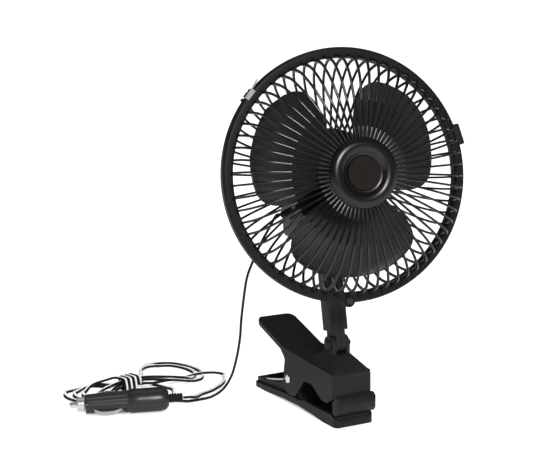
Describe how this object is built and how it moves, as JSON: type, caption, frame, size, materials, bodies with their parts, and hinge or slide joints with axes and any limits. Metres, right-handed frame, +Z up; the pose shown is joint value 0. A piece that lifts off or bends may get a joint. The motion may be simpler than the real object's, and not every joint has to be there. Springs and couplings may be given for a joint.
{
  "type": "clip fan",
  "caption": "Oscillating fan with radial-rib guards on a tilting post, held by a sprung clip, with a hanked twin lead and a vehicle socket plug.",
  "frame": {"origin": "middle of the flat underside of the clip's nose, on the floor", "axes": "+Z up, -Y towards the clip's nose and the side the fan blows to, +X to the viewer's right when the fan is seen from the front"},
  "size_m": [0.2942, 0.3132, 0.3189],
  "materials": {
    "gloss_black": "glossy black moulding",
    "body_black": "semi-gloss black moulding",
    "label_dark": "matt dark red-black disc, blank",
    "latch_grey": "grey moulding",
    "rubber_black": "matt",
    "steel": "plain",
    "bright_plate": "bright nickel plate",
    "brass": "plain",
    "copper_winding": "enamelled copper wire on its core",
    "ferrite": "sintered",
    "nylon_white": "natural nylon",
    "lead_black": "black and white twin lead, stated as its black conductor",
    "fuse_glass": "clear tube"
  },
  "bodies": {
    "base": {"clip_lower_jaw": "body_black", "lower_grip_pad": "rubber_black", "clip_pivot_pin": "bright_plate", "clip_spring": "bright_plate", "cord_drop_lower": "lead_black", "cord_hank": "lead_black", "cord_tail": "lead_black", "plug_shell_lower": "body_black", "plug_shell_upper": "body_black", "plug_nose_ring": "bright_plate", "plug_tip_spring": "steel", "plug_fuse": "fuse_glass", "plug_strain_relief": "rubber_black", "plug_screw": "steel"},
    "upper_jaw": {"clip_upper_jaw": "body_black", "upper_grip_pad": "rubber_black", "tilt_bolt": "body_black", "tilt_nut": "body_black"},
    "post": {"post_left_half": "body_black", "post_right_half": "body_black", "post_screw_lower": "steel", "post_screw_upper": "steel", "neck_pivot": "nylon_white", "link_plate": "steel"},
    "head": {"front_guard": "gloss_black", "rear_guard": "gloss_black", "hub_badge": "label_dark", "guard_clip": "gloss_black", "guard_screw": "steel", "motor_can": "steel", "motor_end_cap": "nylon_white", "front_bush": "brass", "rear_bush": "brass", "motor_magnet_right": "ferrite", "motor_magnet_left": "ferrite", "motor_brush_right": "ferrite", "motor_brush_left": "ferrite", "motor_housing": "body_black", "motor_cover": "body_black", "cover_screw_left": "steel", "cover_screw_right": "steel", "cord_gland": "rubber_black", "cord_drop_upper": "lead_black"},
    "impeller": {"fan_blade": "gloss_black", "blade_nut": "body_black", "motor_shaft": "steel", "rotor_core": "copper_winding", "commutator": "brass", "worm": "brass"},
    "crank_wheel": {"worm_wheel": "nylon_white"},
    "link": {"drive_link": "nylon_white"},
    "latch": {"guard_latch": "latch_grey"},
    "rocker": {"power_switch": "gloss_black"},
    "knob": {"oscillation_knob": "gloss_black"},
    "contact_tip": {"plug_tip": "bright_plate"},
    "contact_left": {"plug_side_contact_left": "steel"},
    "contact_right": {"plug_side_contact_right": "steel"}
  },
  "joints": [
    {"name": "clip_jaw", "type": "hinge", "parent": "base", "child": "upper_jaw", "pos_m": [0, 0.0715, 0.0225], "axis": [-1, 0, 0], "range_deg": [0, 28], "stiffness_Nm_per_rad": 1, "springref_deg": -40.11, "deforming": ["clip_spring"]},
    {"name": "tilt", "type": "hinge", "parent": "upper_jaw", "child": "post", "pos_m": [0, 0.0195, 0.065], "axis": [1, 0, 0], "range_deg": [-30, 50]},
    {"name": "oscillation", "type": "hinge", "parent": "post", "child": "head", "pos_m": [0, 0.0195, 0.065], "axis": [0, 0.184, 0.9829], "range_deg": [-23.7, 46.3]},
    {"name": "blade_spin", "type": "hinge", "parent": "head", "child": "impeller", "pos_m": [0, 0.04575, 0.20527], "axis": [-0.1959, -0.9639, 0.1804], "continuous": true},
    {"name": "worm_wheel_turn", "type": "hinge", "parent": "head", "child": "crank_wheel", "pos_m": [0.01588, 0.06819, 0.20106], "axis": [0, 0.184, 0.9829], "continuous": true},
    {"name": "link_swing", "type": "hinge", "parent": "post", "child": "link", "pos_m": [0.0095, 0.04194, 0.18492], "axis": [0, 0.184, 0.9829], "range_deg": [-23.7, 46.3]},
    {"name": "latch_lift", "type": "hinge", "parent": "head", "child": "latch", "pos_m": [-0.08579, 0.02435, 0.28378], "axis": [-0.675, -0.0009, -0.7378], "range_deg": [0, 60]},
    {"name": "rocker_press", "type": "hinge", "parent": "head", "child": "rocker", "pos_m": [0.00709, 0.08285, 0.21053], "axis": [0.9806, -0.1926, 0.036], "range_deg": [0, 20]},
    {"name": "knob_pull", "type": "slide", "parent": "head", "child": "knob", "axis": [0, 0.184, 0.9829], "range_m": [0, 0.003]},
    {"name": "tip_press", "type": "slide", "parent": "base", "child": "contact_tip", "axis": [0.9331, -0.3591, 0.0209], "range_m": [0, 0.002], "stiffness_N_per_m": 400, "springref_m": -0.002, "deforming": ["plug_tip_spring"]},
    {"name": "contact_left_press", "type": "slide", "parent": "base", "child": "contact_left", "axis": [0.271, 0.7401, 0.6155], "range_m": [0, 0.0012], "stiffness_N_per_m": 300, "springref_m": -0.001},
    {"name": "contact_right_press", "type": "slide", "parent": "base", "child": "contact_right", "axis": [-0.271, -0.7401, -0.6155], "range_m": [0, 0.0012], "stiffness_N_per_m": 300, "springref_m": -0.001}
  ],
  "couplings": [
    {"joint": "worm_wheel_turn", "follows": "blade_spin", "ratio": 0.071429},
    {"joint": "link_swing", "follows": "oscillation", "ratio": 1}
  ]
}
